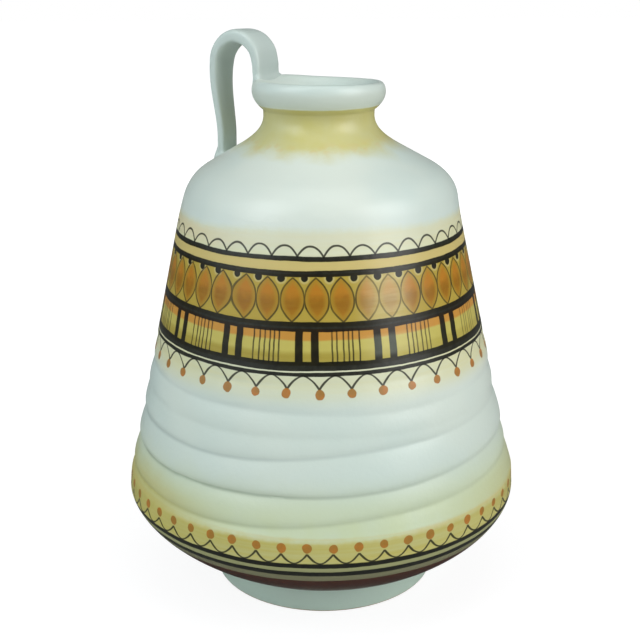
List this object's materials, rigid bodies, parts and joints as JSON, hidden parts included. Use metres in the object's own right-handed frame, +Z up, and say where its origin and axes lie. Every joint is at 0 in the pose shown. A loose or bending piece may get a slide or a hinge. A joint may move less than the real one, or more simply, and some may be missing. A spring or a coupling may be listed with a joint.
{
  "type": "jug vase",
  "caption": "Hand-thrown glazed jug vase with a ribbed conical body, low belly, narrow neck, rolled rim, pulled strap handle and painted bands.",
  "frame": {"origin": "centre of the foot, on the surface that the jug stands on", "axes": "+Z up along the axis of throwing; -Y towards the viewer of the picture; the handle is at the back left, 150 degrees round from +X"},
  "size_m": [0.2158, 0.2158, 0.2999],
  "materials": {
    "painted_glaze": "satin pale blue-green glaze with painted yellow, orange, black and brown bands",
    "pale_glaze": "satin pale grey-green glaze",
    "foot_glaze": "satin pale glaze, bare clay where it stands"
  },
  "bodies": {
    "root": {"foot_ring": "foot_glaze", "lower_bowl": "painted_glaze", "conical_wall": "painted_glaze", "neck_collar": "pale_glaze", "rolled_rim": "pale_glaze", "strap_handle": "pale_glaze"}
  },
  "joints": []
}
